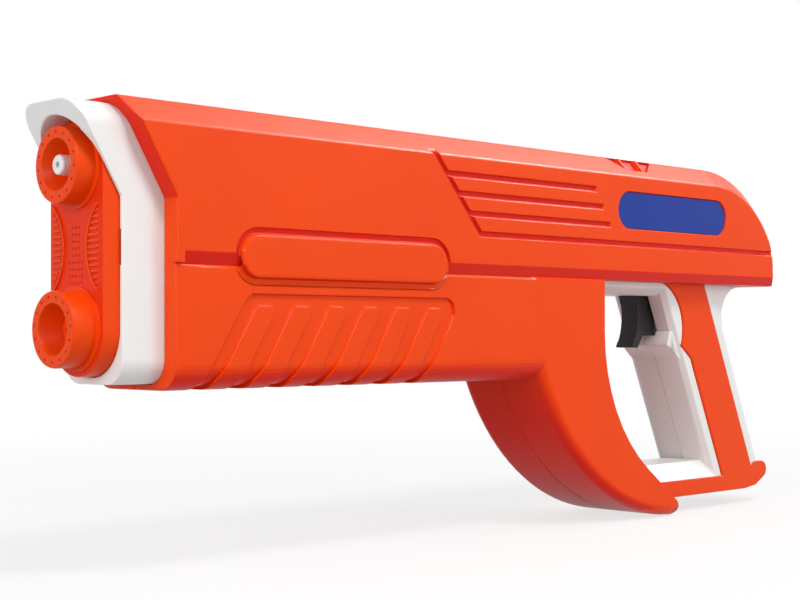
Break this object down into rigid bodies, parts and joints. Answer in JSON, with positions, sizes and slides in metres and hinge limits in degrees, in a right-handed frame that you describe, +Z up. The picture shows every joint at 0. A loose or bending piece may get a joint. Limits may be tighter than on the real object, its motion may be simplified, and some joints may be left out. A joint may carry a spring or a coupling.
{
  "type": "water squirter",
  "caption": "Long battery water squirter with a twin-port nose, a brimmed collar, a hooked hand guard and a leaning handle with a trigger; a motor pump fills a tank that a valve empties.",
  "frame": {"origin": "on the centre plane, below the middle of the length, level with the lowest point of the hand guard", "axes": "+X towards the tail, the muzzle pointing along -X; +Y towards the screwed side; +Z up"},
  "size_m": [0.512, 0.066, 0.2035],
  "materials": {
    "orange_plastic": "satin moulded",
    "white_plastic": "satin moulded",
    "blue_plastic": "gloss",
    "black_plastic": "satin moulded",
    "red_plastic": "moulded",
    "steel": "zinc plated",
    "grey_plastic": "moulded",
    "nylon": "moulded",
    "rubber": "matt",
    "hose": "silicone",
    "tank_plastic": "translucent",
    "copper": "varnished",
    "board": "solder mask",
    "cell_wrap": "shrink wrap"
  },
  "bodies": {
    "squirter_body": {"left_shell": "orange_plastic", "right_shell": "orange_plastic", "nose_plate": "orange_plastic", "intake_strainer": "orange_plastic", "left_grip_plate": "orange_plastic", "right_grip_plate": "orange_plastic", "muzzle_collar": "white_plastic", "jet_nozzle": "white_plastic", "left_grip_core": "white_plastic", "right_grip_core": "white_plastic", "intake_pipe": "white_plastic", "left_badge": "blue_plastic", "right_badge": "blue_plastic", "trigger_switch": "black_plastic", "battery_tray": "black_plastic", "trigger_pin": "steel", "trigger_spring": "steel", "idler_pin": "steel", "pump_screws": "steel", "motor": "steel", "plunger_spring": "steel", "solenoid_frame": "steel", "charge_socket": "steel", "shell_screws": "steel", "grip_screws": "steel", "check_valve_body": "grey_plastic", "pump_housing": "grey_plastic", "pump_cover": "grey_plastic", "valve_body": "grey_plastic", "duckbill": "rubber", "pump_gasket": "rubber", "shaft_seal": "rubber", "intake_hose": "hose", "riser_hose": "hose", "water_tank": "tank_plastic", "solenoid_coil": "copper", "control_board": "board", "battery_cells": "cell_wrap"},
    "trigger": {"trigger": "black_plastic"},
    "switch_button": {"switch_button": "red_plastic"},
    "pump_drive": {"drive_gear": "nylon", "motor_shaft": "steel"},
    "pump_idler": {"idler_gear": "nylon"},
    "valve_plunger": {"valve_plunger": "steel"},
    "socket_cap": {"socket_cap": "rubber"}
  },
  "joints": [
    {"name": "trigger_pull", "type": "hinge", "parent": "squirter_body", "child": "trigger", "pos_m": [0.14299, 0, 0.1508], "axis": [0, -1, 0], "range_deg": [0, 10], "stiffness_Nm_per_rad": 0.6, "springref_deg": -11.46, "deforming": ["trigger_spring"]},
    {"name": "button_press", "type": "slide", "parent": "squirter_body", "child": "switch_button", "axis": [1, 0, 0], "range_m": [0, 0.0025]},
    {"name": "pump_spin", "type": "hinge", "parent": "squirter_body", "child": "pump_drive", "pos_m": [-0.10601, -0.0096, 0.1132], "axis": [1, 0, 0], "continuous": true},
    {"name": "idler_spin", "type": "hinge", "parent": "squirter_body", "child": "pump_idler", "pos_m": [-0.10601, 0.0096, 0.1132], "axis": [1, 0, 0], "continuous": true},
    {"name": "plunger_lift", "type": "slide", "parent": "squirter_body", "child": "valve_plunger", "axis": [0, 0, -1], "range_m": [0, 0.006], "stiffness_N_per_m": 150, "springref_m": -0.008, "deforming": ["plunger_spring"]},
    {"name": "cap_pull", "type": "slide", "parent": "squirter_body", "child": "socket_cap", "axis": [1, 0, 0], "range_m": [0, 0.01]}
  ],
  "couplings": [
    {"joint": "button_press", "follows": "trigger_pull", "m_per_rad": 0.0135},
    {"joint": "idler_spin", "follows": "pump_spin", "ratio": -1}
  ]
}
